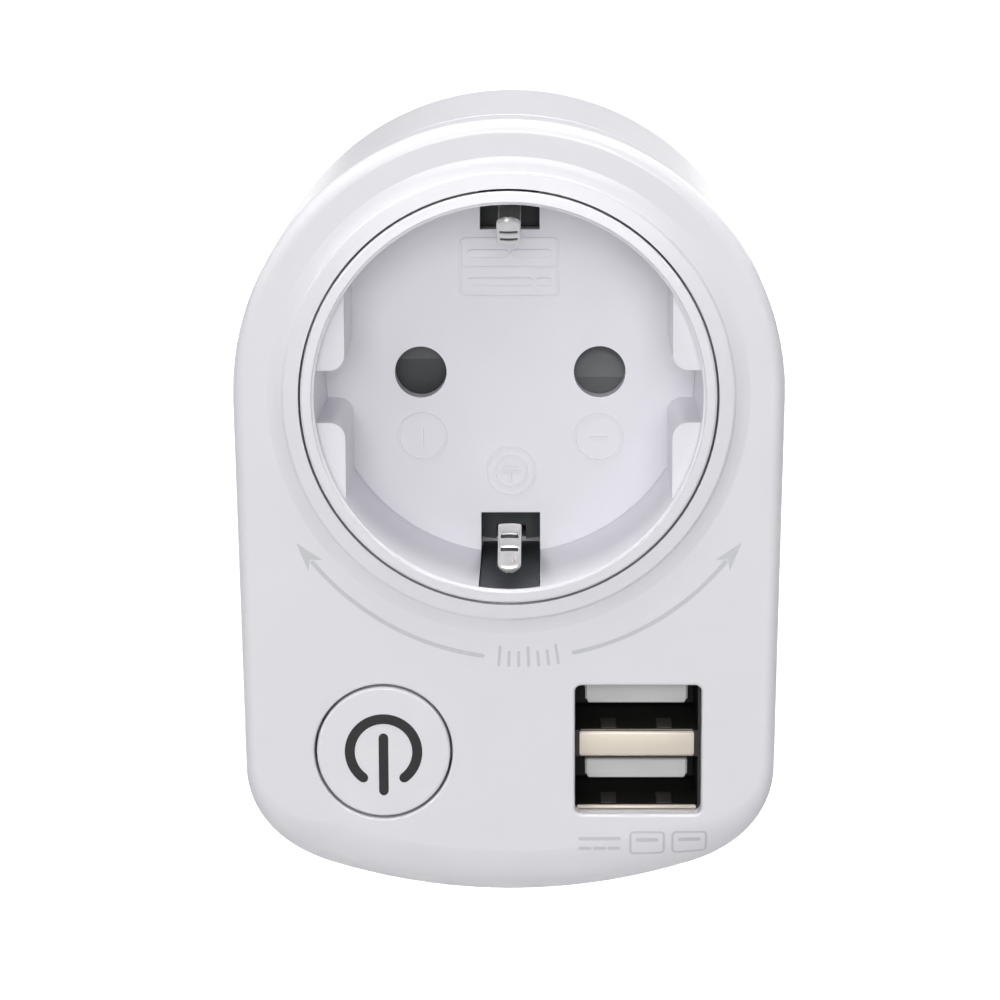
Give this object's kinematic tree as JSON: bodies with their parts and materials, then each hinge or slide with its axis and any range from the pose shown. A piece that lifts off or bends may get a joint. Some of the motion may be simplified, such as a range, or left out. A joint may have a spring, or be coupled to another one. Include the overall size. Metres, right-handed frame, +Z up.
{
  "type": "smart plug",
  "caption": "Rotating smart plug for a round European wall socket: socket insert with earth clips, push button, twin charging port and a radio-controlled relay inside.",
  "frame": {"origin": "middle of the plug's end face, where its two pins come out, on the axis that the casing turns about", "axes": "+Y along the pins into the wall, +Z up with the socket above the button and port, +X to the right seen from the front"},
  "size_m": [0.0564, 0.076, 0.0816],
  "materials": {
    "casing_white": "satin white moulded plastic",
    "insert_white": "satin white moulded plastic",
    "button_white": "satin white moulded plastic",
    "dark_plastic": "dark grey moulded plastic",
    "shutter_plastic": "dark grey acetal",
    "nickel": "nickel plated brass",
    "spring_steel": "bright sprung steel",
    "brass": "bare brass",
    "bronze": "phosphor bronze leaf",
    "screw_steel": "zinc plated steel",
    "port_metal": "plated steel can",
    "port_tongue": "light grey moulded plastic",
    "contact_gold": "gold plated contact",
    "board_green": "solder-masked glass fibre board",
    "radio_metal": "tinned shield",
    "black_plastic": "black moulded plastic",
    "relay_blue": "blue relay case",
    "can_sleeve": "shrink sleeve on an aluminium can",
    "ferrite": "ferrite",
    "winding_tape": "yellow insulating tape",
    "copper": "enamelled copper",
    "varistor_blue": "epoxy dip",
    "led_clear": "clear epoxy",
    "lead_brown": "brown insulation",
    "lead_black": "black insulation",
    "lead_blue": "blue insulation"
  },
  "bodies": {
    "plug_core": {"socket_insert": "insert_white", "socket_floor": "insert_white", "contact_carrier": "dark_plastic", "earth_guards": "dark_plastic", "line_contact": "brass", "neutral_contact": "brass", "line_pin": "nickel", "neutral_pin": "nickel", "plug_base": "insert_white", "core_screws": "screw_steel", "earth_clips": "spring_steel", "plug_earth_strap": "spring_steel", "earth_post": "brass", "earth_sleeve": "brass", "line_lead": "lead_brown", "load_lead": "lead_black", "neutral_lead": "lead_blue", "neutral_link": "brass", "line_slip_ring": "brass", "load_slip_ring": "brass", "neutral_slip_ring": "brass", "shutter_spring": "spring_steel"},
    "casing": {"board_link": "black_plastic", "bridge_rectifier": "black_plastic", "choke_winding": "copper", "control_board": "board_green", "filter_choke": "ferrite", "front_shell": "casing_white", "fuse_case": "black_plastic", "housing_screws": "screw_steel", "input_capacitors": "can_sleeve", "line_brush": "bronze", "load_brush": "bronze", "main_board": "board_green", "neutral_brush": "bronze", "output_capacitors": "can_sleeve", "power_chip": "black_plastic", "radio_board": "board_green", "radio_shield": "radio_metal", "rear_shell": "casing_white", "relay": "relay_blue", "status_led": "led_clear", "switch_body": "black_plastic", "switch_dome": "spring_steel", "transformer_bobbin": "black_plastic", "transformer_core": "ferrite", "transformer_winding": "winding_tape", "usb_board": "board_green", "usb_contacts": "contact_gold", "usb_link": "black_plastic", "usb_shell": "port_metal", "usb_tongues": "port_tongue", "varistor": "varistor_blue"},
    "button": {"button_cap": "button_white", "switch_plunger": "black_plastic"},
    "shutter": {"shutter": "shutter_plastic"}
  },
  "joints": [
    {"name": "casing_turn", "type": "hinge", "parent": "plug_core", "child": "casing", "pos_m": [0, -0.037, 0], "axis": [0, 1, 0], "range_deg": [-90, 90]},
    {"name": "button_press", "type": "slide", "parent": "casing", "child": "button", "axis": [0, 1, 0], "range_m": [0, 0.0006], "stiffness_N_per_m": 1500, "springref_m": -0.0004, "deforming": ["switch_dome"]},
    {"name": "shutter_turn", "type": "hinge", "parent": "plug_core", "child": "shutter", "pos_m": [0, -0.036, 0], "axis": [0, 1, 0], "range_deg": [0, 38], "stiffness_Nm_per_rad": 0.01, "springref_deg": -20.05, "deforming": ["shutter_spring"]}
  ]
}
